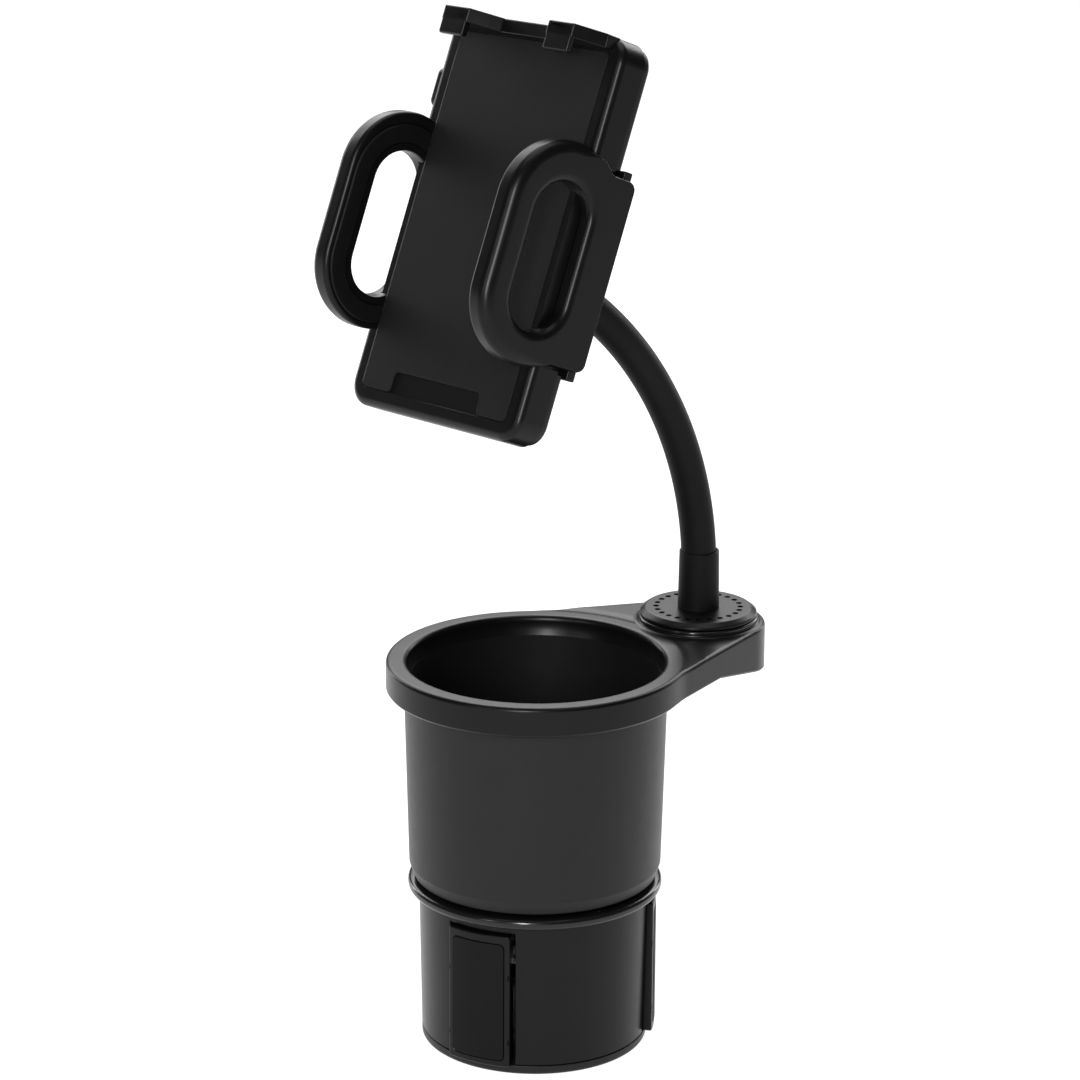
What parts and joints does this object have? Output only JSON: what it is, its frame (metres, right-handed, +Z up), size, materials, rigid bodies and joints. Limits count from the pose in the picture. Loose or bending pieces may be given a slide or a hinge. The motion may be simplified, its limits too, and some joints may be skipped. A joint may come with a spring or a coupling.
{
  "type": "car phone mount",
  "caption": "Cup-holder phone mount: an expanding base that grips a car's cup holder, a drink cup, a bendable neck on an offset arm and a ball-jointed phone cradle with sliding arms.",
  "frame": {"origin": "centre of the base's bottom face", "axes": "+Z up along the cup axis, +Y along the arm towards the neck, -Y towards the phone's screen side"},
  "size_m": [0.0929, 0.136, 0.3198],
  "materials": {
    "black_plastic": "satin moulded ABS",
    "satin_plastic": "satin moulded ABS with a fine grain",
    "gloss_black": "semi-gloss moulded ABS",
    "face_sheet": "matte, very fine grain",
    "rubber": "matte rubber",
    "steel": "zinc plated",
    "nylon": "natural nylon"
  },
  "bodies": {
    "base": {"base_barrel": "black_plastic", "base_cap": "satin_plastic", "base_lid": "gloss_black", "base_screws": "steel", "shoe_guide": "nylon"},
    "shoe_1": {"shoe_1": "black_plastic", "shoe_pad_1": "rubber"},
    "shoe_2": {"shoe_2": "black_plastic", "shoe_pad_2": "rubber"},
    "shoe_3": {"shoe_3": "black_plastic", "shoe_pad_3": "rubber"},
    "cup": {"cup_shell": "satin_plastic", "collar_arm": "black_plastic", "cup_hub": "nylon", "cam_scroll": "steel", "hub_screws": "steel", "hub_bolt": "steel", "swivel_ring": "rubber"},
    "swivel": {"swivel_disc": "black_plastic", "swivel_washer": "steel", "swivel_screw": "steel", "neck_boot": "rubber", "neck_link_0": "steel", "neck_sleeve": "rubber"},
    "neck_1": {"neck_link_1": "steel"},
    "neck_2": {"neck_link_2": "steel"},
    "neck_3": {"neck_link_3": "steel"},
    "neck_4": {"neck_link_4": "steel"},
    "neck_5": {"neck_link_5": "steel"},
    "neck_6": {"neck_link_6": "steel"},
    "neck_7": {"ball_stud": "steel", "neck_end_cap": "rubber"},
    "ball_tilt": {"ball_liner": "nylon"},
    "socket": {"socket_cup": "black_plastic", "ring_nut": "black_plastic", "socket_clip": "steel"},
    "cradle": {"cradle_front": "black_plastic", "cradle_rear": "satin_plastic", "face_pad": "face_sheet", "cradle_screws": "steel", "wind_spring": "steel", "button_spring": "steel"},
    "arm_left": {"arm_left": "black_plastic", "grip_left": "rubber"},
    "arm_right": {"arm_right": "black_plastic", "grip_right": "rubber"},
    "pinion": {"pinion": "nylon"},
    "button": {"release_button": "black_plastic", "release_bar": "steel"}
  },
  "joints": [
    {"name": "cup_turn", "type": "hinge", "parent": "base", "child": "cup", "pos_m": [0, 0, 0.05], "axis": [0, 0, 1], "range_deg": [-45, 75]},
    {"name": "shoe_1_slide", "type": "slide", "parent": "base", "child": "shoe_1", "axis": [0.4337, -0.9011, 0], "range_m": [-0.0024, 0.004]},
    {"name": "shoe_2_slide", "type": "slide", "parent": "base", "child": "shoe_2", "axis": [0.5635, 0.8261, 0], "range_m": [-0.0024, 0.004]},
    {"name": "shoe_3_slide", "type": "slide", "parent": "base", "child": "shoe_3", "axis": [-0.9972, 0.075, 0], "range_m": [-0.0024, 0.004]},
    {"name": "neck_swivel", "type": "hinge", "parent": "cup", "child": "swivel", "pos_m": [0, 0.0622, 0.12], "axis": [0, 0, 1], "range_deg": [-150, 150]},
    {"name": "neck_bend_1", "type": "hinge", "parent": "swivel", "child": "neck_1", "pos_m": [0, 0.0619, 0.14463], "axis": [1, 0, 0], "range_deg": [-8, 3], "deforming": ["neck_sleeve"]},
    {"name": "neck_bend_2", "type": "hinge", "parent": "neck_1", "child": "neck_2", "pos_m": [0, 0.05955, 0.16112], "axis": [1, 0, 0], "range_deg": [-8, 3]},
    {"name": "neck_bend_3", "type": "hinge", "parent": "neck_2", "child": "neck_3", "pos_m": [0, 0.05487, 0.17711], "axis": [1, 0, 0], "range_deg": [-8, 3]},
    {"name": "neck_bend_4", "type": "hinge", "parent": "neck_3", "child": "neck_4", "pos_m": [0, 0.04798, 0.19227], "axis": [1, 0, 0], "range_deg": [-8, 3]},
    {"name": "neck_bend_5", "type": "hinge", "parent": "neck_4", "child": "neck_5", "pos_m": [0, 0.03902, 0.20631], "axis": [1, 0, 0], "range_deg": [-8, 3]},
    {"name": "neck_bend_6", "type": "hinge", "parent": "neck_5", "child": "neck_6", "pos_m": [0, 0.02815, 0.21893], "axis": [1, 0, 0], "range_deg": [-8, 3]},
    {"name": "neck_bend_7", "type": "hinge", "parent": "neck_6", "child": "neck_7", "pos_m": [0, 0.01561, 0.22989], "axis": [1, 0, 0], "range_deg": [-8, 3]},
    {"name": "ball_tilt", "type": "hinge", "parent": "neck_7", "child": "ball_tilt", "pos_m": [0, -0.00044, 0.24067], "axis": [1, 0, 0], "range_deg": [-20, 10]},
    {"name": "ball_pan", "type": "hinge", "parent": "ball_tilt", "child": "socket", "pos_m": [0, -0.00044, 0.24067], "axis": [0, 0.3898, 0.9209], "range_deg": [-16, 16]},
    {"name": "cradle_roll", "type": "hinge", "parent": "socket", "child": "cradle", "pos_m": [0, -0.00044, 0.24067], "axis": [0, -0.9209, 0.3898], "range_deg": [-90, 90]},
    {"name": "arm_right_slide", "type": "slide", "parent": "cradle", "child": "arm_right", "axis": [0.9973, 0.0285, 0.0673], "range_m": [0, 0.012]},
    {"name": "arm_left_slide", "type": "slide", "parent": "cradle", "child": "arm_left", "axis": [-0.9973, -0.0285, -0.0673], "range_m": [0, 0.012]},
    {"name": "pinion_spin", "type": "hinge", "parent": "cradle", "child": "pinion", "pos_m": [-0.00031, -0.01488, 0.25144], "axis": [0, -0.9209, 0.3898], "range_deg": [-1, 116]},
    {"name": "button_press", "type": "slide", "parent": "cradle", "child": "button", "axis": [0.9973, 0.0285, 0.0673], "range_m": [0, 0.0022], "stiffness_N_per_m": 600, "springref_m": -0.001}
  ],
  "couplings": [
    {"joint": "shoe_1_slide", "follows": "cup_turn", "m_per_rad": 0.003},
    {"joint": "shoe_2_slide", "follows": "cup_turn", "m_per_rad": 0.003},
    {"joint": "shoe_3_slide", "follows": "cup_turn", "m_per_rad": 0.003},
    {"joint": "arm_left_slide", "follows": "arm_right_slide", "ratio": 1},
    {"joint": "pinion_spin", "follows": "arm_right_slide", "rad_per_m": 166.67}
  ]
}
